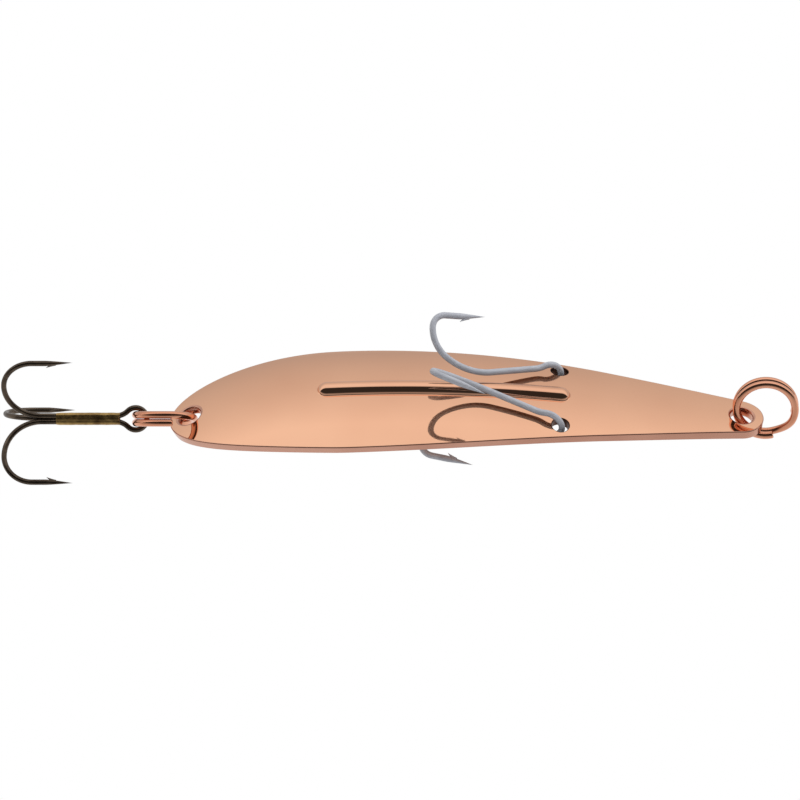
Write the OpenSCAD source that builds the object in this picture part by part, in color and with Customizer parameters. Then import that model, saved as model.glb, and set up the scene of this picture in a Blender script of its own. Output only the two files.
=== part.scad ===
// Jigging spoon lure, hanging from its line-tie ring.
// Origin: inner top of the line-tie ring. +Z up, the blade's domed face towards -Y.

/* [Blade] */
// Distance from the line-tie hole to the tail end of the blade
blade_reach = 98.6; // [85:0.5:115]
// Distance from the line-tie hole to the head end of the blade
head_edge = 3.7; // [3.2:0.1:4.5]
// Half width at the widest station
half_w = 12.9; // [11:0.1:15]
// Half width of the round head end
head_half_w = 4.1; // [3.6:0.1:5]
// Distance from the line-tie hole to the widest station
wide_at = 67.6; // [58:0.5:75]
// Plate thickness
plate_t = 1.8; // [1.2:0.1:2.2]
// Radius of the dome across the blade
crown_r = 38; // [32:1:60]
// Radius of the bow along the middle of the blade
bow_r = 235; // [180:5:320]
// Radius of the bow at the tail
tail_bow_r = 70; // [60:1:100]
// Distance from the line-tie hole to the top of the bow
bow_top_at = 58.2; // [50:0.5:66]
// Slope of the straight head end
head_slope = 8.6; // [6:0.1:11]
// Slope where the tail bow starts
tail_slope = 3.15; // [2:0.05:5]

/* [Rib] */
// Distance from the line-tie hole to the head end of the rib
rib_from = 29.6; // [26:0.1:32]
// Length of the rib
rib_len = 43.6; // [36:0.1:48]
// Radius of the rib's round back
rib_r = 1.65; // [1.3:0.05:2]
// Height of the rib above the face
rib_h = 1.25; // [0.8:0.05:1.3]

/* [Holes] */
// Diameter of the line-tie hole
line_hole_d = 3.9; // [3.8:0.1:4.4]
// Diameter of the tail hole
tail_hole_d = 4.1; // [4:0.1:4.4]
// Distance from the tail hole to the tail end
tail_edge = 3.3; // [3.2:0.1:3.8]
// Diameter of each side hole
side_hole_d = 3.0; // [2.6:0.1:3.4]
// Distance from the line-tie hole to the side holes
side_at = 31.3; // [28:0.1:36]
// Distance of each side hole from the centre line
side_off = 7.2; // [7:0.1:7.8]
// Bevel round the line-tie hole
hole_bevel = 0.45; // [0.4:0.05:0.5]
// Bevel round the tail hole
tail_bevel = 0.5; // [0.45:0.05:0.55]

/* [Split rings] */
// Outside diameter of a split ring
ring_od = 11.4; // [11:0.1:13]
// Wire diameter of a split ring
ring_wire = 1.3; // [1:0.05:1.35]
// Turn of the line-tie ring away from square to the blade
line_ring_yaw = 10; // [0:1:12]
// Turn of the tail ring and the treble away from the blade's plane
tail_ring_yaw = 50; // [46:1:50]
// Arc of the line-tie ring where the wire steps to its second turn
line_step = 60; // [40:5:120]
// Arc of the tail ring where the wire steps to its second turn
tail_step = 150; // [120:5:160]

/* [Side hooks] */
// Wire diameter of a double hook
hook_wire = 1.1; // [0.9:0.05:1.2]
// Gap between the hook wire and the plate beside the hole
hook_gap = 1.05; // [1.05:0.05:1.2]
// Straight length of each leg
leg_len = 8.3; // [6:0.1:10]
// Lean of the upper hook towards the centre line
upper_lean = 21.5; // [0:0.1:21.5]
// Lean of the lower hook towards the centre line
lower_lean = 21.5; // [0:0.1:21.5]
// Tilt of each hook from the face beside its hole, away from the blade's other edge
hook_tilt = 2.5; // [2.5:0.1:2.7]
// Turn of each hook's bend from the plate's normal towards the blade's edge
hook_turn = 45; // [35:1:55]

/* [Treble hook] */
// Wire diameter of the treble hook
treble_wire = 0.95; // [0.8:0.05:1]
// Length of the treble hook over everything
treble_len = 25.5; // [22:0.5:30]
// Distance of the hook points from the shank
treble_reach = 11.8; // [10:0.1:13]
// Turn of the eye about the shank
treble_roll = 7; // [0:1:20]

/* [Hidden] */

// Split rings: turn spacing, centre-line radius, and the arc of the line-tie ring's step
turn_gap = 0.06;
ring_pitch = ring_wire + turn_gap;
ring_r = (ring_od - ring_wire) / 2;
line_step_mid = -45;
ring_sides = 10;
ring_step = 7.5;

// Line-tie ring and hole: the ring's wire runs through the plate a little below the hole's middle
line_ring_z = ring_wire / 2 - ring_r;
hole_drop = 0.9 * ring_r;
hole_lift = 0.45;
hole_front = sqrt(pow(ring_r, 2) - pow(hole_drop, 2));
blade_x = hole_front * sin(line_ring_yaw);
line_hole_y = hole_front * cos(line_ring_yaw) + hole_lift * sin(head_slope);
line_hole_z = line_ring_z - hole_drop + hole_lift * cos(head_slope);

// Stations along the blade
head_z = line_hole_z + head_edge;
tail_z = line_hole_z - blade_reach;
wide_z = line_hole_z - wide_at;
bow_top_z = line_hole_z - bow_top_at;
side_z = line_hole_z - side_at;
tail_hole_z = tail_z + tail_edge;
head_join_z = bow_top_z + bow_r * sin(head_slope);
tail_join_z = bow_top_z - bow_r * sin(tail_slope);

// Bow of the face: height towards the front at the joins, and the tail bow's centre
line_face_z = line_hole_z + plate_t / 2 * sin(head_slope);
line_face_n = plate_t / 2 * cos(head_slope) - line_hole_y;
head_join_n = line_face_n + (line_face_z - head_join_z) * tan(head_slope);
bow_c_n = head_join_n - bow_r * cos(head_slope);
tail_c_z = bow_top_z - (bow_r - tail_bow_r) * sin(tail_slope);
tail_c_n = bow_c_n + (bow_r - tail_bow_r) * cos(tail_slope);
tail_end_slope = asin((tail_c_z - tail_z) / tail_bow_r) + 5;

// Outline: lengths of the curve handles, and how far round the head end's arc goes
head_turn = 80;
head_handle = 0.33 * (wide_at - 2);
side_handle = 0.36 * (wide_at - 2);
shoulder_handle = 0.45 * (blade_reach - wide_at);
tail_handle = 0.62 * half_w;
outline_steps = 16;
blank_depth = 40;

// Laps between the plate's lengths: how far one runs into the next, and how far it is set in
lap_len = 0.5;
lap_step = 0.02;
lap_slope = asin(lap_len / tail_bow_r) - tail_slope;

// Double hook: bight, counter bend, and the three arcs of each bend as [radius, angle]
bight_r = plate_t / 2 + hook_gap + hook_wire / 2;
bight_back = 0.35;
bight_over = 22;
counter_r = 4;
leg_rise = 2.4;
hook_arcs = [[11.2, 45], [6, 57], [2.4, 86]];
hook_straight = 2.6;
hook_point = 4.8;

// Treble hook: eye, neck, shank and bend
eye_gap = 0.12;
eye_in_r = ring_pitch / 2 + ring_wire / 2 + eye_gap;
eye_r = eye_in_r + treble_wire / 2;
wire_gap = 0.05;
pair_off = (treble_wire + wire_gap) / 2;
single_off = sqrt(3) * pair_off;
neck_r = 3;
neck_turn = 180 - asin((pair_off + neck_r) / (eye_r + neck_r));
neck_len = neck_r * sin(neck_turn - 90) - eye_r * cos(neck_turn);
treble_depth = treble_len - eye_r - treble_wire;
bend_in_r = 0.57 * (treble_reach - pair_off);
bend_out_r = 0.43 * (treble_reach - pair_off);
shank_len = treble_depth - neck_len - bend_in_r;
treble_straight = 2.4;
treble_point = 4.6;
braze_r = 1.12;
braze_from = neck_len + 0.1;
braze_len = 10.1;
braze_gap = 0.01;
braze_end = 0.5;

// Middle of the wire in the tail hole, half way through the plate
tail_wire_lift = 0.5;
tail_wire = [blade_x,
             plate_t / 2 * cos(slope_at(tail_hole_z)) - face_at(tail_hole_z),
             tail_hole_z - plate_t / 2 * sin(slope_at(tail_hole_z)) + tail_wire_lift];

// Wire ends: how much wider the ball at a join is than the wire, and the barb and the tip
knuckle = 0.02;
barb_len = 1.7;
barb_angle = 26;
tip_r = 0.05;

$fn = 48;

// Slope of the face at station z, and its height towards the front there
function slope_at(z) =
    z > head_join_z ? head_slope
    : z > tail_join_z ? asin((z - bow_top_z) / bow_r)
    : asin((z - tail_c_z) / tail_bow_r);
function face_at(z) =
    z > head_join_z ? head_join_n - (z - head_join_z) * tan(head_slope)
    : z > tail_join_z ? bow_c_n + bow_r * cos(slope_at(z))
    : tail_c_n + tail_bow_r * cos(slope_at(z));

// Drop of the dome at a distance from the centre line
function dome_drop(off) = crown_r - sqrt(pow(crown_r, 2) - pow(off, 2));

// Point of a cubic curve
function curve(a, b, c, d, t) =
    pow(1 - t, 3) * a + 3 * pow(1 - t, 2) * t * b + 3 * (1 - t) * t * t * c + pow(t, 3) * d;

// Half outline from head to tail, as [half width, z]
head_end = [head_half_w * sin(head_turn), head_z - head_half_w * (1 - cos(head_turn))];
head_dir = [cos(head_turn), -sin(head_turn)];
half_outline = concat(
    [for (a = [0 : 10 : head_turn - 10]) [head_half_w * sin(a), head_z - head_half_w * (1 - cos(a))]],
    [for (i = [0 : outline_steps - 1])
        curve(head_end, head_end + head_handle * head_dir, [half_w, wide_z + side_handle],
              [half_w, wide_z], i / outline_steps)],
    [for (i = [0 : outline_steps])
        curve([half_w, wide_z], [half_w, wide_z - shoulder_handle], [tail_handle, tail_z],
              [0, tail_z], i / outline_steps)]);
mirrored_outline = [for (i = [len(half_outline) - 2 : -1 : 1]) [-half_outline[i][0], half_outline[i][1]]];

// Stand on the face at station z and a distance off the centre line (positive towards -X).
// The children's +Z is the face's normal, and their +X runs towards the tail.
module on_face(z, off = 0) {
    slope = slope_at(z);
    translate([blade_x - off, -face_at(z) + dome_drop(off) * cos(slope), z - dome_drop(off) * sin(slope)])
        rotate([-slope, 0, 0])
            rotate([0, 0, -asin(off / crown_r)])
                rotate([90, 0, 0])
                    rotate([0, 0, -90])
                        children();
}

// Domed cross section of the plate, for a bow of radius r about the vertical axis, each face set in
module plate_section(r, inset = 0) {
    intersection() {
        difference() {
            translate([r - crown_r, 0]) circle(r = crown_r - inset);
            translate([r - crown_r, 0]) circle(r = crown_r - plate_t + inset);
        }
        translate([r - crown_r / 2, -half_w - 1.5]) square([crown_r, 2 * half_w + 3]);
    }
}

// One bowed length of the plate between two slopes, about an axis at [z, n]
module bowed_length(r, z, n, from, to, inset = 0) {
    translate([blade_x, -n, z])
        rotate([0, 90, 0])
            rotate([0, 0, -90 - to])
                rotate_extrude(angle = to - from, $fn = 180)
                    plate_section(r, inset);
}

// The straight head length of the plate, lapped into the bow
module head_length() {
    translate([blade_x, -bow_c_n, bow_top_z])
        rotate([0, 90, 0])
            rotate([0, 0, -90 - head_slope])
                rotate([90, 0, 0])
                    translate([0, 0, -lap_len])
                        linear_extrude(height = head_z - head_join_z + 3)
                            plate_section(bow_r, lap_step);
}

// Prism of the outline, along the front-to-back direction
module blank() {
    translate([blade_x, blank_depth / 2, 0])
        rotate([90, 0, 0])
            linear_extrude(height = blank_depth)
                polygon(concat(half_outline, mirrored_outline));
}

// Hole through the plate, square to the face, with an optional bevel at both mouths
module plate_hole(z, off, d, bevel) {
    on_face(z, off)
        translate([0, 0, -plate_t]) {
            translate([0, 0, -plate_t]) cylinder(d = d, h = 3 * plate_t);
            if (bevel > 0) {
                translate([0, 0, plate_t - bevel]) cylinder(d1 = d, d2 = d + 4 * bevel, h = 2 * bevel);
                translate([0, 0, -bevel]) cylinder(d1 = d + 4 * bevel, d2 = d, h = 2 * bevel);
            }
        }
}

// Raised rib: a round-backed bead along the bow, with round ends, down to the middle of the plate
module rib() {
    centre_r = bow_r - rib_r + rib_h;
    from = asin((bow_top_at - rib_from - rib_len + rib_r) / bow_r);
    to = asin((bow_top_at - rib_from - rib_r) / bow_r);
    translate([blade_x, -bow_c_n, bow_top_z])
        rotate([0, 90, 0])
            intersection() {
                union() {
                    rotate([0, 0, -90 - to])
                        rotate_extrude(angle = to - from, $fn = 180)
                            translate([centre_r, 0]) circle(r = rib_r);
                    for (slope = [from, to])
                        rotate([0, 0, -90 - slope])
                            translate([centre_r, 0, 0])
                                sphere(r = rib_r + knuckle / 2);
                }
                rotate([0, 0, -90 - head_slope])
                    rotate_extrude(angle = head_slope + tail_slope, $fn = 180)
                        translate([bow_r - plate_t / 2, -2 * rib_r]) square([2 * rib_h, 4 * rib_r]);
            }
}

module blade() {
    color([0.87, 0.62, 0.48])
        difference() {
            union() {
                intersection() {
                    blank();
                    union() {
                        bowed_length(tail_bow_r, tail_c_z, tail_c_n, -tail_end_slope, lap_slope, lap_step);
                        bowed_length(bow_r, bow_top_z, bow_c_n, -tail_slope, head_slope);
                        head_length();
                    }
                }
                rib();
            }
            plate_hole(line_hole_z, 0, line_hole_d, hole_bevel);
            plate_hole(tail_hole_z, 0, tail_hole_d, tail_bevel);
            plate_hole(side_z, side_off, side_hole_d, 0);
            plate_hole(side_z, -side_off, side_hole_d, 0);
        }
}

// Split ring about the vertical axis, wound twice; step is the arc where the wire changes turn,
// centred on angle mid
function ring_level(a, step) =
    a < step ? (0.5 - 0.5 * cos(180 * a / step) - 0.5) * ring_pitch : ring_pitch / 2;
function ring_turns(step) = [for (a = [step - 360 : ring_step : 360]) a];
module split_ring(step, mid) {
    angles = ring_turns(step);
    rings = len(angles);
    points = [for (a = angles, s = [0 : ring_sides - 1])
        let (level = a < 0 ? -ring_pitch / 2 : ring_level(a, step),
             out = ring_r + ring_wire / 2 * cos(360 * s / ring_sides),
             turn = a + mid - step / 2)
        [out * cos(turn), out * sin(turn), level + ring_wire / 2 * sin(360 * s / ring_sides)]];
    sides = [for (i = [0 : rings - 2], s = [0 : ring_sides - 1])
        let (t = (s + 1) % ring_sides)
        [i * ring_sides + s, i * ring_sides + t, (i + 1) * ring_sides + t, (i + 1) * ring_sides + s]];
    first = [[for (s = [ring_sides - 1 : -1 : 0]) s]];
    last = [[for (s = [0 : ring_sides - 1]) (rings - 1) * ring_sides + s]];
    polyhedron(points, concat(sides, first, last));
}

// The ring's X axis points up, and its Y axis to the front
module line_ring() {
    color([0.80, 0.50, 0.36])
        translate([0, 0, line_ring_z])
            rotate([0, 0, -line_ring_yaw])
                rotate([0, -90, 180])
                    split_ring(line_step, line_step_mid);
}

// Stand at the tail wire. The children's +X points up, and their +Z across the ring.
module at_tail_wire() {
    translate(tail_wire)
        rotate([0, 0, tail_ring_yaw])
            rotate([0, -90, 180])
                children();
}

module tail_ring() {
    color([0.80, 0.50, 0.36])
        at_tail_wire()
            translate([-ring_r, 0, 0])
                mirror([0, 0, 1]) split_ring(tail_step, 0);
}

// Wire bent from +Z towards +X
module bend(wire, r, angle) {
    translate([r, 0, 0])
        rotate([90, 0, 0])
            rotate([0, 0, 180 - angle])
                rotate_extrude(angle = angle)
                    translate([r, 0]) circle(d = wire);
}

// Wire along a list of steps, each [bend radius or 0, angle or length, roll before it], with a ball
// at each join. The children stand at its end.
module wire_run(wire, steps, i = 0) {
    sphere(d = wire + knuckle);
    if (i < len(steps)) {
        size = steps[i][1];
        r = steps[i][0];
        rotate([0, 0, steps[i][2]])
            if (r == 0) {
                cylinder(d = wire, h = size);
                translate([0, 0, size]) wire_run(wire, steps, i + 1) children();
            } else {
                bend(wire, r, size);
                translate([r, 0, 0])
                    rotate([0, size, 0])
                        translate([-r, 0, 0])
                            wire_run(wire, steps, i + 1) children();
            }
    } else {
        children();
    }
}

// Tapered point with a barb on its inner side
module hook_tip(wire, len) {
    cylinder(d1 = wire, r2 = tip_r, h = len);
    translate([wire / 6, 0, len / 3])
        rotate([0, 180 - barb_angle, 0])
            cylinder(d1 = 0.7 * wire, r2 = tip_r, h = barb_len);
}

module hook_leg() {
    wire_run(hook_wire, [
        [bight_r, 90 + bight_over, 0],
        [counter_r, bight_over + leg_rise, 180],
        [0, leg_len, 0],
        [hook_arcs[0][0], hook_arcs[0][1], -hook_turn],
        [hook_arcs[1][0], hook_arcs[1][1], 0],
        [hook_arcs[2][0], hook_arcs[2][1], 0],
        [0, hook_straight, 0]])
        hook_tip(hook_wire, hook_point);
}

// Double hook: its bight passes through the origin along Z, its legs run towards +X and bend to +Y
module double_hook() {
    translate([-bight_back, 0, 0]) {
        hook_leg();
        mirror([0, 0, 1]) hook_leg();
    }
}

module upper_hook() {
    color([0.62, 0.63, 0.66])
        on_face(side_z, side_off)
            translate([0, 0, -plate_t / 2])
                rotate([-hook_tilt, 0, 0])
                    rotate([0, 0, upper_lean])
                        mirror([0, 1, 0])
                            double_hook();
}

module lower_hook() {
    color([0.62, 0.63, 0.66])
        on_face(side_z, -side_off)
            translate([0, 0, -plate_t / 2])
                rotate([hook_tilt, 0, 0])
                    rotate([0, 0, -lower_lean])
                        double_hook();
}

// Stand at the middle of the treble's eye: +Z down the shank, +X across the eye
module at_eye() {
    at_tail_wire()
        translate([-2 * ring_r, 0, 0])
            rotate([0, -90, 0])
                rotate([0, 0, 180 - treble_roll])
                    children();
}

// Bend and point shared by the three hooks; turn is the hook's direction about the shank
module treble_leg(len, turn) {
    wire_run(treble_wire, [
        [0, len, 0],
        [bend_in_r, 90, turn],
        [bend_out_r, 90, 0],
        [0, treble_straight, 0]])
        hook_tip(treble_wire, treble_point);
}

// One half of the pair: half of the eye, the neck and a hook
module pair_half() {
    translate([0, 0, -eye_r])
        rotate([0, 90, 0])
            wire_run(treble_wire, [
                [eye_r, neck_turn, 180],
                [neck_r, neck_turn - 90, 180]])
                treble_leg(shank_len, -30);
}

module treble_pair() {
    color([0.30, 0.24, 0.18])
        at_eye() {
            pair_half();
            mirror([1, 0, 0]) pair_half();
        }
}

module treble_single() {
    color([0.30, 0.24, 0.18])
        at_eye()
            translate([0, single_off, neck_len])
                treble_leg(shank_len, 90);
}

module treble_braze() {
    color([0.62, 0.46, 0.22])
        at_eye()
            difference() {
                translate([0, single_off / 3, braze_from]) {
                    cylinder(r1 = braze_r - 0.25, r2 = braze_r, h = braze_end);
                    translate([0, 0, braze_end]) cylinder(r = braze_r, h = braze_len - 2 * braze_end);
                    translate([0, 0, braze_len - braze_end])
                        cylinder(r1 = braze_r, r2 = braze_r - 0.25, h = braze_end);
                }
                for (side = [-1, 1])
                    translate([side * pair_off, 0, neck_len])
                        cylinder(d = treble_wire + 2 * braze_gap, h = shank_len);
                translate([0, single_off, neck_len])
                    cylinder(d = treble_wire + 2 * braze_gap, h = shank_len);
            }
}

blade();
line_ring();
tail_ring();
treble_pair();
treble_single();
treble_braze();
upper_hook();
lower_hook();
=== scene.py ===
"""Spoon lure: the looks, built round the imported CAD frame. Lengths are in mm until a mesh is made."""
import math

import bpy
import numpy as np
from mathutils import Matrix, Vector, geometry, noise


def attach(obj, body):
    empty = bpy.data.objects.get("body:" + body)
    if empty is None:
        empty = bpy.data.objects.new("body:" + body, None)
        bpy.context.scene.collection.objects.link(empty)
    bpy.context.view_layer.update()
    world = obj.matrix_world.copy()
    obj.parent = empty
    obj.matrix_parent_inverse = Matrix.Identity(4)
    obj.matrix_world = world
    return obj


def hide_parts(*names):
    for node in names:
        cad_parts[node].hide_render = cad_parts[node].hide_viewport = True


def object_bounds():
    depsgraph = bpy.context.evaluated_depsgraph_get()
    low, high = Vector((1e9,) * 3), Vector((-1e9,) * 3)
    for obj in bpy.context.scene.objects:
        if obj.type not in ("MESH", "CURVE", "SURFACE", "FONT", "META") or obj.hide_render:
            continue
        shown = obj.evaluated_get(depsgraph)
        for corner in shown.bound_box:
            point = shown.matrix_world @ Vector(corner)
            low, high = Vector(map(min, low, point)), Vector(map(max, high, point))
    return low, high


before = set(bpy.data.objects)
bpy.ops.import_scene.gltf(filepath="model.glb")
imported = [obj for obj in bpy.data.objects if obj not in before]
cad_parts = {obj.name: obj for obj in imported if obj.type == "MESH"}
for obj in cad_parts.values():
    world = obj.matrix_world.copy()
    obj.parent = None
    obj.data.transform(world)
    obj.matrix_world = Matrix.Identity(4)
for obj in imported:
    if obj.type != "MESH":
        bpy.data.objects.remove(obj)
cad_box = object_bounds()

MM = 0.001


def rad(a):
    return math.radians(a)


# ---------------------------------------------------------------- sizes, as in the CAD
PLATE_T = 1.8
CROWN_R = 38.0
BOW_R = 235.0
TAIL_R = 70.0
HEAD_SLOPE = rad(8.6)
TAIL_SLOPE = rad(3.15)
RING_OD, RING_WIRE, TURN_GAP = 11.4, 1.3, 0.06
RING_R = (RING_OD - RING_WIRE) / 2
PITCH = RING_WIRE + TURN_GAP
LINE_YAW, TAIL_YAW = 10, 50
LINE_STEP, LINE_STEP_MID, TAIL_STEP = 60, -45, 150
TAIL_WIRE_LIFT = 0.5
HALF_W, HEAD_HALF_W, HEAD_TURN = 12.9, 4.1, rad(80)
BLADE_REACH, HEAD_EDGE, TAIL_EDGE = 98.6, 3.7, 3.3
WIDE_AT, BOW_TOP_AT, SIDE_AT, SIDE_OFF = 67.6, 58.2, 31.3, 7.2
LINE_HOLE_R, LINE_BEVEL = 1.95, 0.45
TAIL_HOLE_R, TAIL_BEVEL = 2.05, 0.5
SIDE_HOLE_R, SIDE_ROUND = 1.5, 0.14
HOOK_D, HOOK_GAP, HOOK_LEAN, HOOK_TILT = 1.1, 1.05, 21.5, 2.5
TREBLE_D, TREBLE_LEN, TREBLE_REACH, TREBLE_ROLL = 0.95, 25.5, 11.8, 7

RING_Z = RING_WIRE / 2 - RING_R
HOLE_DROP, HOLE_LIFT = 0.9 * RING_R, 0.45
HOLE_FRONT = math.sqrt(RING_R ** 2 - HOLE_DROP ** 2)
BLADE_X = HOLE_FRONT * math.sin(rad(LINE_YAW))
HOLE_Z = RING_Z - HOLE_DROP + HOLE_LIFT * math.cos(HEAD_SLOPE)
HEAD_Z = HOLE_Z + HEAD_EDGE
TAIL_Z = HOLE_Z - BLADE_REACH
WIDE_Z = HOLE_Z - WIDE_AT
TOP_Z = HOLE_Z - BOW_TOP_AT
SIDE_Z = HOLE_Z - SIDE_AT
TAIL_HOLE_Z = TAIL_Z + TAIL_EDGE
HEAD_JOIN = TOP_Z + BOW_R * math.sin(HEAD_SLOPE)
TAIL_JOIN = TOP_Z - BOW_R * math.sin(TAIL_SLOPE)
_face_z = HOLE_Z + PLATE_T / 2 * math.sin(HEAD_SLOPE)
_hole_y = HOLE_FRONT * math.cos(rad(LINE_YAW)) + HOLE_LIFT * math.sin(HEAD_SLOPE)
_face_n = PLATE_T / 2 * math.cos(HEAD_SLOPE) - _hole_y
JOIN_N = _face_n + (_face_z - HEAD_JOIN) * math.tan(HEAD_SLOPE)
BOW_N = JOIN_N - BOW_R * math.cos(HEAD_SLOPE)
TAIL_CZ = TOP_Z - (BOW_R - TAIL_R) * math.sin(TAIL_SLOPE)
TAIL_CN = BOW_N + (BOW_R - TAIL_R) * math.cos(TAIL_SLOPE)

X, Y, Z = np.eye(3)
UP = np.array([-math.cos(rad(50)), -math.sin(rad(50)), 0])      # up in the main view
EYE = np.array([math.sin(rad(50)), -math.cos(rad(50)), 0])      # towards the main camera


def slope_at(z):
    z = np.asarray(z, float)
    bow = np.arcsin(np.clip((z - TOP_Z) / BOW_R, -1, 1))
    tail = np.arcsin(np.clip((z - TAIL_CZ) / TAIL_R, -1, 1))
    return np.where(z > HEAD_JOIN, HEAD_SLOPE, np.where(z > TAIL_JOIN, bow, tail))


def face_at(z):
    z = np.asarray(z, float)
    f = slope_at(z)
    return np.where(z > HEAD_JOIN, JOIN_N - (z - HEAD_JOIN) * math.tan(HEAD_SLOPE),
                    np.where(z > TAIL_JOIN, BOW_N + BOW_R * np.cos(f), TAIL_CN + TAIL_R * np.cos(f)))


def on_face(z, v):
    """Front face point and outward normal at centre-line station z and distance v towards -X."""
    z, v = np.asarray(z, float), np.asarray(v, float)
    f = slope_at(z)
    k = np.sqrt(1 - (v / CROWN_R) ** 2)
    drop = CROWN_R * (1 - k)
    p = np.stack([BLADE_X - v, -(face_at(z) - drop * np.cos(f)), z - drop * np.sin(f)], -1)
    n = np.stack([-v / CROWN_R, -np.cos(f) * k, np.sin(f) * k], -1)
    return p, n


# ---------------------------------------------------------------- meshes
def new_mesh(name, verts, faces, normals=None, slots=None, ids=None):
    me = bpy.data.meshes.new(name)
    me.from_pydata([tuple(p) for p in np.asarray(verts) * MM], [], [tuple(int(i) for i in f) for f in faces])
    me.update()
    for s in slots or []:
        me.materials.append(s)
    if ids is not None:
        me.polygons.foreach_set("material_index", np.asarray(ids, np.int32))
    me.polygons.foreach_set("use_smooth", np.ones(len(me.polygons), bool))
    if normals is not None:
        me.normals_split_custom_set_from_vertices([tuple(n) for n in normals])
    o = bpy.data.objects.new(name, me)
    bpy.context.scene.collection.objects.link(o)
    return o


def unit(a):
    a = np.asarray(a, float)
    return a / np.maximum(np.linalg.norm(a, axis=-1, keepdims=True), 1e-12)


def bridge(a, b, n, flip=False):
    """Quads between two closed loops of n vertices that start at a and at b."""
    out = []
    for i in range(n):
        j = (i + 1) % n
        q = (a + i, a + j, b + j, b + i)
        out.append(q[::-1] if flip else q)
    return out


def sweep(path, radius, sides=24, side_dir=None, shape=None):
    """Round wire along path, closed at both ends. radius is a number or one per point.
    side_dir, one direction per point, sets where the section's angle 0 looks; shape(i, angle) scales it."""
    p = np.asarray(path, float)
    n = len(p)
    r = np.full(n, radius, float) if np.isscalar(radius) else np.asarray(radius, float)
    t = unit(np.gradient(p, axis=0))
    if side_dir is None:
        ref = X if abs(t[0] @ X) < 0.8 else Y
        d = [unit(ref - t[0] * (ref @ t[0]))]
        for i in range(1, n):
            q = d[-1] - t[i] * (d[-1] @ t[i])
            d.append(unit(q))
        d = np.array(d)
    else:
        d = np.asarray(side_dir, float)
        d = unit(d - t * np.sum(d * t, axis=1, keepdims=True))
    e = np.cross(t, d)
    ang = np.arange(sides) * 2 * math.pi / sides
    ring = []
    for i in range(n):
        s = np.array([1.0 if shape is None else shape(i, a) for a in ang])
        ring.append(p[i] + r[i] * s[:, None] * (np.outer(np.cos(ang), d[i]) + np.outer(np.sin(ang), e[i])))
    verts = np.vstack(ring + [p[:1], p[-1:]])
    faces = []
    for i in range(n - 1):
        faces += bridge(i * sides, (i + 1) * sides, sides)
    for k in range(sides):
        j = (k + 1) % sides
        faces.append((n * sides, j, k))
        faces.append((n * sides + 1, (n - 1) * sides + k, (n - 1) * sides + j))
    return verts, faces


def join(parts):
    v, f, off = [], [], 0
    for a, b in parts:
        v.append(np.asarray(a))
        f += [tuple(i + off for i in q) for q in b]
        off += len(a)
    return np.vstack(v), f


# ---------------------------------------------------------------- blade
def curve(a, b, c, d, t):
    t = np.asarray(t)[:, None]
    return (1 - t) ** 3 * a + 3 * (1 - t) ** 2 * t * b + 3 * (1 - t) * t * t * c + t ** 3 * d


def half_outline():
    """Half width and z from the head to the tail."""
    a = np.linspace(0, HEAD_TURN, 26)
    head = np.stack([HEAD_HALF_W * np.sin(a), HEAD_Z - HEAD_HALF_W * (1 - np.cos(a))], -1)
    d = np.array([math.cos(HEAD_TURN), -math.sin(HEAD_TURN)])
    side_len = WIDE_AT - 2
    e, w = head[-1], np.array([HALF_W, WIDE_Z])
    side = curve(e, e + 0.33 * side_len * d, w + [0, 0.36 * side_len], w, np.linspace(0, 1, 90))
    tail = curve(w, w - [0, 0.45 * (BLADE_REACH - WIDE_AT)], np.array([0.62 * HALF_W, TAIL_Z]),
                 np.array([0.0, TAIL_Z]), np.linspace(0, 1, 70))
    return np.vstack([head, side[1:], tail[1:]])


def blade_loops():
    """Outline and holes in the flat domain (station, distance): each a loop and its edge rounding."""
    h = half_outline()
    w, z = h[:, 0], h[:, 1]
    z0 = z.copy()
    for _ in range(6):
        z0 = z + CROWN_R * (1 - np.sqrt(1 - (w / CROWN_R) ** 2)) * np.sin(slope_at(z0))
    one = np.stack([z0, w], -1)
    loop = np.vstack([one, (one * [1, -1])[-2:0:-1]])
    tangent = unit(np.roll(loop, -1, 0) - np.roll(loop, 1, 0))
    inward = np.stack([tangent[:, 1], -tangent[:, 0]], -1)
    centre = loop.mean(0)
    if np.sum((centre - loop) * inward) < 0:
        inward = -inward
    out = [(loop + inward * (EDGE - GROW), EDGE, False)]
    for z, v, r, e, count in [(HOLE_Z, 0, LINE_HOLE_R, LINE_BEVEL, 72),
                              (TAIL_HOLE_Z, 0, TAIL_HOLE_R, TAIL_BEVEL, 72),
                              (SIDE_Z, SIDE_OFF, SIDE_HOLE_R, SIDE_ROUND, 64),
                              (SIDE_Z, -SIDE_OFF, SIDE_HOLE_R, SIDE_ROUND, 64)]:
        a = np.arange(count) * 2 * math.pi / count
        k = math.sqrt(1 - (v / CROWN_R) ** 2)
        c = math.cos(float(slope_at(z)))
        out.append((np.stack([z + (r + e) * np.cos(a) * c, v + (r + e) * np.sin(a) * k], -1), e, True))
    return out


def inside(pts, loop):
    x, y = pts[:, 0], pts[:, 1]
    odd = np.zeros(len(pts), bool)
    for (x0, y0), (x1, y1) in zip(loop, np.roll(loop, -1, 0)):
        hit = (y0 > y) != (y1 > y)
        if y1 != y0:
            odd ^= hit & (x < (x1 - x0) * (y - y0) / (y1 - y0) + x0)
    return odd


EDGE, GROW = 0.2, 0.12


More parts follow.
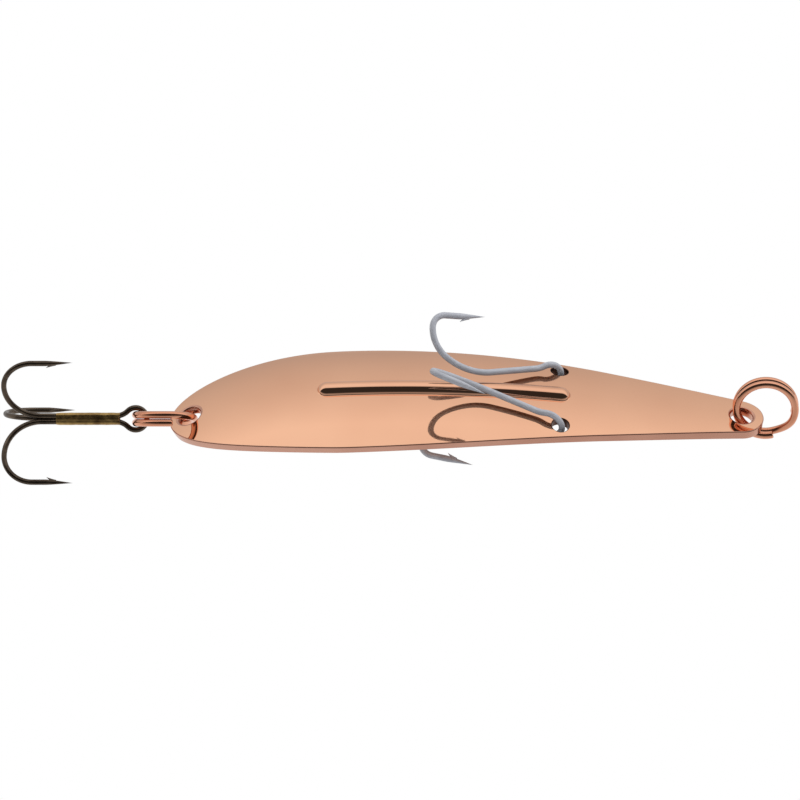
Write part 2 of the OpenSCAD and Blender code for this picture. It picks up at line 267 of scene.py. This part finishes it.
def make_blade(front_mat, rim_mat, painted_shade_bore_mat):
    loops = blade_loops()
    pts, edges = [], []
    starts = []
    for loop, _, _ in loops:
        s = len(pts)
        starts.append(s)
        pts += [tuple(p) for p in loop]
        edges += [(s + i, s + (i + 1) % len(loop)) for i in range(len(loop))]
    stations = np.arange(TAIL_Z - 1, HEAD_Z + 1, 0.8)
    grid = np.array([(z, v + (0.45 if row % 2 else 0)) for row, z in enumerate(stations)
                     for v in np.arange(-HALF_W, HALF_W + 0.1, 0.9)])
    keep = inside(grid, loops[0][0])
    for loop, _, _ in loops[1:]:
        keep &= ~inside(grid, loop)
    near = np.min(np.linalg.norm(grid[:, None] - np.array(pts)[None], axis=-1), axis=1)
    grid = grid[keep & (near > 0.35)]
    allp = np.vstack([np.array(pts), grid])
    out = geometry.delaunay_2d_cdt([Vector(p) for p in allp], edges, [], 0, 1e-6)
    flat = np.array([tuple(p) for p in out[0]])
    where = {}
    for i, src in enumerate(out[3]):
        for s in src:
            where[s] = i
    tri = np.array([f for f in out[2]])
    mid = flat[tri].mean(1)
    keep = inside(mid, loops[0][0])
    for loop, _, _ in loops[1:]:
        keep &= ~inside(mid, loop)
    tri = tri[keep]
    p, n = on_face(flat[:, 0], flat[:, 1])
    a = p[tri[:, 1]] - p[tri[:, 0]]
    b = p[tri[:, 2]] - p[tri[:, 0]]
    wrong = np.sum(np.cross(a, b) * n[tri[:, 0]], axis=1) < 0
    tri[wrong] = tri[wrong][:, ::-1]
    count = len(flat)
    verts, norms = [p, p - PLATE_T * n], [n, -n]
    faces = [tuple(t) for t in tri] + [tuple(t[::-1] + count) for t in tri]
    ids = [0] * len(faces)
    total = 2 * count
    for which, ((loop, e, hole), s) in enumerate(zip(loops, starts)):
        m = len(loop)
        # Slot 2, the near-black bore copper, goes on the side holes' walls as painted shade for their unlit
        # inside; the outline and the line and tail holes take slot 1, the rim copper.
        wall = 2 if which > 2 else 1
        idx = np.array([where[s + i] for i in range(m)])
        q, qn = p[idx], n[idx]
        t = unit(np.roll(q, -1, 0) - np.roll(q, 1, 0))
        w = unit(np.cross(t, qn))
        middle = q.mean(0)
        if hole and np.sum((middle - q) * w) < 0 or not hole and np.sum((q - middle) * w) < 0:
            w = -w
        rows = [(e * math.sin(a), e * (1 - math.cos(a)), a) for a in np.linspace(0, math.pi / 2, 7)[1:]]
        rows += [(e, d, math.pi / 2) for d in np.linspace(e, PLATE_T - e, 5)[1:-1]]
        rows += [(e * math.cos(a), PLATE_T - e + e * math.sin(a), math.pi / 2 + a)
                 for a in np.linspace(0, math.pi / 2, 7)[:-1]]
        prev = list(idx)
        for x, d, a in rows:
            verts.append(q + w * x - qn * d)
            norms.append(unit(w * math.sin(a) + qn * math.cos(a)))
            cur = list(range(total, total + m))
            total += m
            faces += [(prev[i], prev[(i + 1) % m], cur[(i + 1) % m], cur[i]) for i in range(m)]
            ids += [wall] * m
            prev = cur
        last = list(idx + count)
        faces += [(prev[i], prev[(i + 1) % m], last[(i + 1) % m], last[i]) for i in range(m)]
        ids += [wall] * m
    v, nn = np.vstack(verts), np.vstack(norms)
    fixed = []
    for f, k in zip(faces, ids):
        if k:
            c = np.cross(v[f[1]] - v[f[0]], v[f[2]] - v[f[0]])
            f = f if c @ nn[list(f)].sum(0) > 0 else f[::-1]
        fixed.append(f)
    return new_mesh("blade_plate", v, fixed, nn, [front_mat, rim_mat, painted_shade_bore_mat], ids)


RIB_R, RIB_H = 1.65, 1.25
RIB_AT, RIB_LEN = 29.6, 43.6
RIB_FROM, RIB_TO = HOLE_Z - RIB_AT - RIB_R, HOLE_Z - RIB_AT - RIB_LEN + RIB_R


def make_rib(mat):
    """The bead: a closed skin with a small fillet onto the plate and round ends."""
    sink = RIB_R - RIB_H
    f = 0.22
    prof = []
    d_c = math.sqrt((RIB_R + f) ** 2 - (sink + f) ** 2)
    a_end = math.acos((sink + f) / (RIB_R + f))
    for a in np.linspace(0, a_end, 20)[1:]:
        prof.append((RIB_R * math.sin(a), RIB_R * math.cos(a) - sink, a))
    for a in np.linspace(a_end, 0, 7)[1:]:
        prof.append((d_c - f * math.sin(a), f - f * math.cos(a), a))
    z = np.linspace(RIB_FROM, RIB_TO, 120)
    verts, norms, faces = [], [], []

    def ring_of(d, h, a):
        loop = [(zz, d, 0.0, 1.0) for zz in z]
        loop += [(RIB_TO - d * math.sin(b), d * math.cos(b), -math.sin(b), math.cos(b))
                 for b in np.linspace(0, math.pi, 40)[1:-1]]
        loop += [(zz, -d, 0.0, -1.0) for zz in z[::-1]]
        loop += [(RIB_FROM + d * math.sin(b), -d * math.cos(b), math.sin(b), -math.cos(b))
                 for b in np.linspace(0, math.pi, 40)[1:-1]]
        loop = np.array(loop)
        p, n = on_face(loop[:, 0], loop[:, 1])
        s = slope_at(loop[:, 0])
        along = np.stack([np.zeros(len(s)), np.sin(s), np.cos(s)], -1)
        across = np.stack([-np.ones(len(s)), np.zeros(len(s)), np.zeros(len(s))], -1)
        g = unit(along * loop[:, 2:3] + across * loop[:, 3:4])
        g = unit(g - n * np.sum(g * n, axis=1, keepdims=True))
        return p + n * h, unit(n * math.cos(a) + g * math.sin(a))

    spine, spine_n = on_face(z, z * 0)
    verts.append(spine + spine_n * RIB_H)
    norms.append(spine_n)
    m = 2 * len(z) + 76
    total = len(z)
    first = None
    for d, h, a in prof:
        p, n = ring_of(d, h, a)
        verts.append(p)
        norms.append(n)
        if first is None:
            first = total
            k = len(z)
            for i in range(k - 1):
                faces.append((i, i + 1, first + i + 1, first + i))
                r = first + k + 38 + (k - 1)
                faces.append((i + 1, i, r - i, r - i - 1))
            end = first + k - 1
            for i in range(39):
                faces.append((k - 1, end + i, end + i + 1))
            start = first + 2 * k + 38 - 1
            for i in range(39):
                faces.append((0, start + i, first + (start + i + 1 - first) % m))
        else:
            faces += bridge(total - m, total, m)
        total += m
    bottom, n = ring_of(prof[-1][0], -0.6, math.pi / 2)
    verts.append(bottom)
    norms.append(n)
    faces += bridge(total - m, total, m)
    faces.append(tuple(range(total, total + m))[::-1])
    v, nn = np.vstack(verts), np.vstack(norms)
    fixed = []
    for q in faces:
        if len(q) <= 4:
            c = np.cross(v[q[1]] - v[q[0]], v[q[2]] - v[q[0]])
            q = q if c @ nn[list(q)].sum(0) > 0 else q[::-1]
        fixed.append(q)
    return new_mesh("blade_rib", v, fixed, nn, [mat])


# ---------------------------------------------------------------- wires
def rot(axis, deg):
    return np.array(Matrix.Rotation(rad(deg), 3, Vector(axis)))


def run(p, r, steps, step=0.12):
    """Centre line through steps of (bend radius or 0, angle or length, roll before it).
    Returns the points, the end point and the end frame."""
    pts = [p.copy()]
    for radius, size, roll in steps:
        r = r @ rot((0, 0, 1), roll)
        if radius == 0:
            n = max(2, int(size / (step * 2.5)))
            for k in range(1, n + 1):
                pts.append(p + r[:, 2] * size * k / n)
            p = pts[-1].copy()
        else:
            n = max(3, int(rad(size) * radius / step))
            start = p.copy()
            for k in range(1, n + 1):
                a = rad(size) * k / n
                pts.append(start + r @ np.array([radius - radius * math.cos(a), 0, radius * math.sin(a)]))
            p = pts[-1].copy()
            r = r @ rot((0, 1, 0), size)
    return np.array(pts), p, r


def tip(p, r, wire, length, barb_len):
    """Tapered point past the end of a wire, as more path and radii, and its barb as a mesh of its own."""
    n = 44
    s = np.linspace(0, 1, n + 1)[1:]
    # the point hugs the outer side: its axis drifts away from the gap as it thins
    rr = wire / 2 * np.clip(1 - s ** 1.25, 0.03, 1)
    drift = -(wire / 2 - rr) * 0.35
    pts = p + np.outer(s * length, r[:, 2]) + np.outer(drift, r[:, 0])
    root = p + r[:, 2] * length * 0.36 + r[:, 0] * wire * 0.10
    lean = rad(23)
    back = -r[:, 2] * math.cos(lean) + r[:, 0] * math.sin(lean)
    m = 14
    u = np.linspace(0, 1, m)
    line = root + np.outer(u * barb_len, back) + np.outer((u ** 2) * 0.10 * barb_len, r[:, 0])
    br = wire * (0.34 * (1 - u) ** 0.85 + 0.015)
    bv = sweep(line, br, 14, np.tile(r[:, 1], (m, 1)), lambda i, a: 0.72 + 0.28 * abs(math.sin(a)))
    return pts, rr, bv


def on_plate(z, off):
    """Frame square to the face: +Z its normal, +X towards the tail."""
    f = math.degrees(float(slope_at(z)))
    p, _ = on_face(z, off)
    across = -math.degrees(math.asin(off / CROWN_R))
    r = rot((1, 0, 0), -f) @ rot((0, 0, 1), across) @ rot((1, 0, 0), 90) @ rot((0, 0, 1), -90)
    return p, r


def make_side_hook(name, side, mat):
    o, r = on_plate(SIDE_Z, side * SIDE_OFF)
    o = o - r[:, 2] * PLATE_T / 2
    r = r @ rot((1, 0, 0), -side * HOOK_TILT) @ rot((0, 0, 1), side * HOOK_LEAN)
    bight = PLATE_T / 2 + HOOK_GAP + HOOK_D / 2
    steps = [(bight, 112, 0), (4, 24.4, 180), (0, 8.3, 0),
             (11.2, 45, -45), (6, 57, 0), (2.4, 86, 0), (0, 2.6, 0)]
    pts, p, rr = run(np.zeros(3), np.eye(3), steps)
    tp, tr, (bv, bf) = tip(p, rr, HOOK_D, 4.8, 1.75)
    half = np.vstack([pts, tp])
    radii = np.concatenate([np.full(len(pts), HOOK_D / 2), tr])
    shift = np.array([-0.35, 0, 0])
    flip = np.array([1, 1, -1.0])
    turn = np.array([1, -side, 1.0])
    path = np.vstack([(half * flip)[:0:-1], half]) + shift
    rad_all = np.concatenate([radii[:0:-1], radii])
    parts = []
    v, f = sweep(path * turn @ r.T + o, rad_all, 26)
    parts.append((v, f))
    for s in (np.ones(3), flip):
        w = (bv * s + shift) * turn @ r.T + o
        mirrored = np.prod(s * turn) < 0
        parts.append((w, [q[::-1] for q in bf] if mirrored else bf))
    v, f = join(parts)
    return new_mesh(name, v, f, None, [mat])


def ring_path(step, mid):
    a = np.arange(step - 360, 360.01, 2.5)
    rise = -PITCH / 2 * np.cos(math.pi * a / step)
    level = np.where(a < 0, -PITCH / 2, np.where(a < step, rise, PITCH / 2))
    t = np.radians(a + mid - step / 2)
    return np.stack([RING_R * np.cos(t), RING_R * np.sin(t), level], -1)


def make_ring(name, path, mat):
    n = len(path)
    r = np.full(n, RING_WIRE / 2)
    r[0] = r[-1] = RING_WIRE / 2 * 0.86
    v, f = sweep(path, r, 28)
    return new_mesh(name, v, f, None, [mat])


def line_ring_path():
    r = rot((0, 0, 1), -LINE_YAW) @ rot((0, 0, 1), 180) @ rot((0, 1, 0), -90)
    return ring_path(LINE_STEP, LINE_STEP_MID) @ r.T + np.array([0, 0, RING_Z])


_f = float(slope_at(TAIL_HOLE_Z))
TAIL_WIRE = np.array([BLADE_X, PLATE_T / 2 * math.cos(_f) - float(face_at(TAIL_HOLE_Z)),
                      TAIL_HOLE_Z - PLATE_T / 2 * math.sin(_f) + TAIL_WIRE_LIFT])
TAIL_R3 = rot((0, 0, 1), TAIL_YAW) @ rot((0, 0, 1), 180) @ rot((0, 1, 0), -90)


def tail_ring_path():
    other_hand = np.array([1, 1, -1])
    return (ring_path(TAIL_STEP, 0) * other_hand - np.array([RING_R, 0, 0])) @ TAIL_R3.T + TAIL_WIRE


EYE_R = PITCH / 2 + RING_WIRE / 2 + 0.12 + TREBLE_D / 2
PAIR_OFF = (TREBLE_D + 0.05) / 2
SINGLE_OFF = math.sqrt(3) * PAIR_OFF
NECK_R = 3.0
NECK_TURN = 180 - math.degrees(math.asin((PAIR_OFF + NECK_R) / (EYE_R + NECK_R)))
NECK_LEN = NECK_R * math.sin(rad(NECK_TURN - 90)) - EYE_R * math.cos(rad(NECK_TURN))
BEND_IN = 0.57 * (TREBLE_REACH - PAIR_OFF)
BEND_OUT = 0.43 * (TREBLE_REACH - PAIR_OFF)
SHANK = TREBLE_LEN - EYE_R - TREBLE_D - NECK_LEN - BEND_IN
EYE_AT = TAIL_WIRE - np.array([0, 0, 2 * RING_R])
EYE_R3 = TAIL_R3 @ rot((0, 1, 0), -90) @ rot((0, 0, 1), 180 - TREBLE_ROLL)


def treble_leg(p, r, turn):
    pts, p, r = run(p, r, [(0, SHANK, 0), (BEND_IN, 90, turn), (BEND_OUT, 90, 0), (0, 2.4, 0)])
    tp, tr, barb = tip(p, r, TREBLE_D, 4.6, 1.7)
    return np.vstack([pts, tp]), np.concatenate([np.full(len(pts), TREBLE_D / 2), tr]), barb


def make_treble_pair(mat):
    p0 = np.array([0, 0, -EYE_R])
    pts, p, r = run(p0, rot((0, 1, 0), 90), [(EYE_R, NECK_TURN, 180), (NECK_R, NECK_TURN - 90, 180)])
    leg, radii, (bv, bf) = treble_leg(p, r, -30)
    half = np.vstack([pts, leg[1:]])
    rr = np.concatenate([np.full(len(pts), TREBLE_D / 2), radii[1:]])
    m = np.array([-1.0, 1, 1])
    path = np.vstack([(half * m)[:0:-1], half])
    v, f = sweep(path @ EYE_R3.T + EYE_AT, np.concatenate([rr[:0:-1], rr]), 24)
    parts = [(v, f), (bv @ EYE_R3.T + EYE_AT, bf), ((bv * m) @ EYE_R3.T + EYE_AT, [q[::-1] for q in bf])]
    v, f = join(parts)
    return new_mesh("treble_pair_wire", v, f, None, [mat])


def make_treble_single(mat):
    leg, radii, (bv, bf) = treble_leg(np.array([0, SINGLE_OFF, NECK_LEN]), np.eye(3), 90)
    v, f = sweep(leg @ EYE_R3.T + EYE_AT, radii, 24)
    v, f = join([(v, f), (bv @ EYE_R3.T + EYE_AT, bf)])
    return new_mesh("treble_single_wire", v, f, None, [mat])


def make_braze(mat):
    """Brass run in over the three wires: a lobed section, thin at both ends."""
    c = np.array([0, SINGLE_OFF / 3])
    wires = [np.array([PAIR_OFF, 0]), np.array([-PAIR_OFF, 0]), np.array([0, SINGLE_OFF])]
    sides, rows = 60, 90
    z0, z1 = NECK_LEN - 0.8, NECK_LEN + 10.3
    verts = []
    for i in range(rows + 1):
        t = i / rows
        z = z0 + (z1 - z0) * t
        spread = 1 + 0.35 * max(0, (NECK_LEN - z)) ** 2
        coat = 0.10 * (1 - math.exp(-t * 18)) * (1 - math.exp(-(1 - t) * 22)) + 0.012
        row = []
        for k in range(sides):
            a = 2 * math.pi * k / sides
            d = np.array([math.cos(a), math.sin(a)])
            best = 0.0
            for w in wires:
                q = (w - c) * np.array([spread, 1])
                b = q @ d
                disc = b * b - q @ q + (TREBLE_D / 2 + coat) ** 2
                if disc > 0:
                    best = max(best, b + math.sqrt(disc))
            fill = 0.80 + coat
            r = max(best, fill) if t > 0.02 else best
            nz = noise.noise(Vector((math.cos(a) * 1.2, math.sin(a) * 1.2, z * 1.1)))
            r += 0.035 * nz * min(1, coat / 0.1)
            row.append([c[0] + d[0] * r, c[1] + d[1] * r, z])
        verts.append(row)
    v = np.array(verts)
    for _ in range(2):
        v[:, :, :2] = 0.5 * v[:, :, :2] + 0.25 * (np.roll(v, 1, 1) + np.roll(v, -1, 1))[:, :, :2]
    v = v.reshape(-1, 3)
    faces = []
    for i in range(rows):
        faces += bridge(i * sides, (i + 1) * sides, sides)
    faces.append(tuple(range(sides))[::-1])
    faces.append(tuple(range(rows * sides, (rows + 1) * sides)))
    return new_mesh("treble_braze_brass", v @ EYE_R3.T + EYE_AT, faces, None, [mat])


# ---------------------------------------------------------------- materials
def material(name, base, rough, metallic=1.0):
    m = bpy.data.materials.new(name)
    m.use_nodes = True
    b = m.node_tree.nodes["Principled BSDF"]
    b.inputs["Base Color"].default_value = (*base, 1)
    b.inputs["Roughness"].default_value = rough
    b.inputs["Metallic"].default_value = metallic
    return m, m.node_tree, b


def add(tree, kind, **values):
    n = tree.nodes.new(kind)
    for k, v in values.items():
        if k in n.inputs:
            n.inputs[k].default_value = v
        else:
            setattr(n, k, v)
    return n


def coords(tree, scale):
    tc = tree.nodes.new("ShaderNodeTexCoord")
    mp = tree.nodes.new("ShaderNodeMapping")
    mp.inputs["Scale"].default_value = scale
    tree.links.new(tc.outputs["Object"], mp.inputs["Vector"])
    return mp.outputs["Vector"]


def noise_node(tree, vec, scale, detail=3.0, rough=0.5):
    n = add(tree, "ShaderNodeTexNoise", Scale=scale, Detail=detail, Roughness=rough)
    tree.links.new(vec, n.inputs["Vector"])
    return n.outputs["Fac"]


def ramp(tree, fac, stops):
    r = tree.nodes.new("ShaderNodeValToRGB")
    e = r.color_ramp.elements
    while len(e) < len(stops):
        e.new(0.5)
    for el, (pos, col) in zip(e, stops):
        el.position = pos
        el.color = (*col, 1) if len(col) == 3 else col
    tree.links.new(fac, r.inputs["Fac"])
    return r.outputs["Color"]


def span(tree, fac, lo, hi, a=0.0, b=1.0):
    n = tree.nodes.new("ShaderNodeMapRange")
    n.inputs["From Min"].default_value = a
    n.inputs["From Max"].default_value = b
    n.inputs["To Min"].default_value = lo
    n.inputs["To Max"].default_value = hi
    tree.links.new(fac, n.inputs["Value"])
    return n.outputs["Result"]


def bump(tree, bsdf, heights):
    """heights: (socket, strength, distance in m), chained."""
    prev = None
    for h, strength, dist in heights:
        b = tree.nodes.new("ShaderNodeBump")
        b.inputs["Strength"].default_value = strength
        b.inputs["Distance"].default_value = dist
        tree.links.new(h, b.inputs["Height"])
        if prev is not None:
            tree.links.new(prev, b.inputs["Normal"])
        prev = b.outputs["Normal"]
    tree.links.new(prev, bsdf.inputs["Normal"])


def copper_plate(name, tone, dark, r0, r1, wave=0.25):
    m, t, b = material(name, tone, r0)
    even = coords(t, (1, 1, 1))
    long = coords(t, (1, 1, 0.06))
    big = noise_node(t, even, 55, 2)
    t.links.new(ramp(t, big, [(0.35, dark), (0.65, tone)]), b.inputs["Base Color"])
    fine = noise_node(t, even, 900, 4)
    scratch = noise_node(t, long, 5200, 2)
    t.links.new(span(t, fine, r0, r1, 0.35, 0.75), b.inputs["Roughness"])
    waves = noise_node(t, even, 130, 1.5)
    bump(t, b, [(waves, wave, 0.00006), (scratch, 0.12, 0.000004), (fine, 0.10, 0.000006)])
    return m


def wire_metal(name, tone, dark, r0, r1, grain=1400, strength=0.35, metallic=1.0):
    m, t, b = material(name, tone, r0, metallic)
    even = coords(t, (1, 1, 1))
    big = noise_node(t, even, 420, 4, 0.6)
    fine = noise_node(t, even, grain, 4)
    t.links.new(ramp(t, big, [(0.3, dark), (0.7, tone)]), b.inputs["Base Color"])
    t.links.new(span(t, fine, r0, r1, 0.3, 0.7), b.inputs["Roughness"])
    bump(t, b, [(fine, strength, 0.00002), (big, strength, 0.00004)])
    return m


copper = copper_plate("copper_mirror", (0.90, 0.505, 0.325), (0.86, 0.47, 0.30), 0.035, 0.075)
copper_rim = copper_plate("copper_rim", (0.64, 0.345, 0.25), (0.54, 0.27, 0.19), 0.16, 0.30, 0.4)
# Bore copper: near-black copper on the side holes' walls, a painted shade for the unlit inside of the holes
# rather than a colour of the metal.
copper_bore_painted_shade = copper_plate("copper_bore_painted_shade", (0.13, 0.06, 0.04), (0.07, 0.03, 0.02), 0.3, 0.5, 0.4)
copper_rib = copper_plate("copper_rib", (0.90, 0.505, 0.325), (0.84, 0.45, 0.29), 0.04, 0.09, 0.8)
copper_wire = copper_plate("copper_wire", (0.86, 0.42, 0.27), (0.74, 0.32, 0.19), 0.10, 0.22, 0.3)
tin = wire_metal("grey_tin", (0.42, 0.43, 0.47), (0.33, 0.34, 0.38), 0.5, 0.65, metallic=0.35)
bronze = wire_metal("bronzed_steel", (0.17, 0.13, 0.095), (0.06, 0.044, 0.034), 0.26, 0.42, 1600, 0.3)
brass = wire_metal("braze_brass", (0.62, 0.42, 0.16), (0.20, 0.11, 0.045), 0.28, 0.5, 1500, 0.6)

# ---------------------------------------------------------------- pieces
plate = make_blade(copper, copper_rim, copper_bore_painted_shade)
rib = make_rib(copper_rib)
ring_a = make_ring("line_ring_wire", line_ring_path(), copper_wire)
ring_b = make_ring("tail_ring_wire", tail_ring_path(), copper_wire)
hook_a = make_side_hook("upper_hook_wire", 1, tin)
hook_b = make_side_hook("lower_hook_wire", -1, tin)
pair = make_treble_pair(bronze)
single = make_treble_single(bronze)
braze = make_braze(brass)

for piece, body, node, slot in [
        (plate, "blade", "blade", "blade"), (rib, "blade", "blade", "blade"),
        (ring_a, "line_ring", "line_ring", "split_ring"), (ring_b, "tail_ring", "tail_ring", "split_ring"),
        (hook_a, "upper_hook", "upper_hook", "side_hook"), (hook_b, "lower_hook", "lower_hook", "side_hook"),
        (pair, "treble", "treble_pair", "treble"), (single, "treble", "treble_single", "treble"),
        (braze, "treble", "treble_braze", "braze")]:
    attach(piece, body)
    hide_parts(node)

# ---------------------------------------------------------------- studio
scene = bpy.context.scene
scene.view_settings.view_transform = "Standard"
world = bpy.data.worlds.new("studio")
scene.world = world
world.use_nodes = True
wt = world.node_tree
bg = wt.nodes["Background"]
tc = wt.nodes.new("ShaderNodeTexCoord")
sep = wt.nodes.new("ShaderNodeSeparateXYZ")
wt.links.new(tc.outputs["Generated"], sep.inputs["Vector"])


def wmath(op, a, b=None):
    n = wt.nodes.new("ShaderNodeMath")
    n.operation = op
    for i, s in enumerate([a, b]):
        if s is None:
            continue
        if isinstance(s, (int, float)):
            n.inputs[i].default_value = s
        else:
            wt.links.new(s, n.inputs[i])
    return n.outputs[0]


# turn round the lure from -Y towards -X, as 0..1 with -Y in the middle
turn = wmath("ARCTAN2", wmath("MULTIPLY", sep.outputs["X"], -1), wmath("MULTIPLY", sep.outputs["Y"], -1))
u = wmath("ADD", wmath("DIVIDE", turn, 2 * math.pi), 0.5)


def at(deg):
    return deg / 360 + 0.5


def grey(v):
    return (v, v, v)


sky = ramp(wt, u, [(at(-180), grey(0.85)), (at(-110), grey(0.60)), (at(-92), grey(0.42)),
                   (at(-80), grey(0.22)), (at(-74), grey(0.035)), (at(-12), grey(0.035)),
                   (at(-4), grey(0.95)), (at(25), grey(1.0)),
                   (at(52), grey(0.77)), (at(86), grey(0.56)), (at(125), grey(0.9)), (at(180), grey(0.85))])
path_node = wt.nodes.new("ShaderNodeLightPath")
mix = wt.nodes.new("ShaderNodeMix")
mix.data_type = "RGBA"
wt.links.new(path_node.outputs["Is Camera Ray"], mix.inputs["Factor"])
wt.links.new(sky, mix.inputs["A"])
mix.inputs["B"].default_value = (1, 1, 1, 1)
wt.links.new(mix.outputs["Result"], bg.inputs["Color"])

floor_me = bpy.data.meshes.new("floor")
s = 3.0
floor_me.from_pydata([(-s, -s, 0), (s, -s, 0), (s, s, 0), (-s, s, 0)], [], [(0, 1, 2, 3)])
floor = bpy.data.objects.new("floor", floor_me)
scene.collection.objects.link(floor)
floor.location.z = cad_box[0][2] - 0.2
floor.visible_glossy = False
fm, ft, fb = material("floor_pale", (0.86, 0.86, 0.85), 0.75, 0.0)
patches = noise_node(ft, coords(ft, (1, 1, 1)), 40, 3)
floor_tone = ramp(ft, patches, [(0.3, (0.84, 0.84, 0.83)), (0.7, (0.88, 0.88, 0.87))])
ft.links.new(floor_tone, fb.inputs["Base Color"])
floor_me.materials.append(fm)


def softbox(name, direction, size, power):
    li = bpy.data.lights.new(name, "AREA")
    li.shape = "RECTANGLE"
    li.size = li.size_y = size
    li.energy = power
    o = bpy.data.objects.new(name, li)
    scene.collection.objects.link(o)
    d = Vector(direction).normalized()
    o.location = Vector((0, 0, -0.067)) + d * 0.7
    o.rotation_mode = "QUATERNION"
    o.rotation_quaternion = d.to_track_quat("Z", "Y")
    o.visible_glossy = False


softbox("key", (-0.45, -0.75, 0.55), 0.5, 5)
softbox("fill", (0.8, -0.3, 0.4), 0.6, 2)

cam_data = bpy.data.cameras.new("camera")
cam_data.lens = 500
cam_data.sensor_width = 36
cam = bpy.data.objects.new("camera", cam_data)
scene.collection.objects.link(cam)
distance = 0.13793 / 2 / (18 / 500)
target = Vector(tuple(Z * -0.06745 + UP * 0.00137))
m = Matrix((tuple(Z), tuple(UP), tuple(EYE))).transposed().to_4x4()
m.translation = target + Vector(tuple(EYE)) * distance
cam.matrix_world = m
cam_data.clip_end = 20
scene.camera = cam
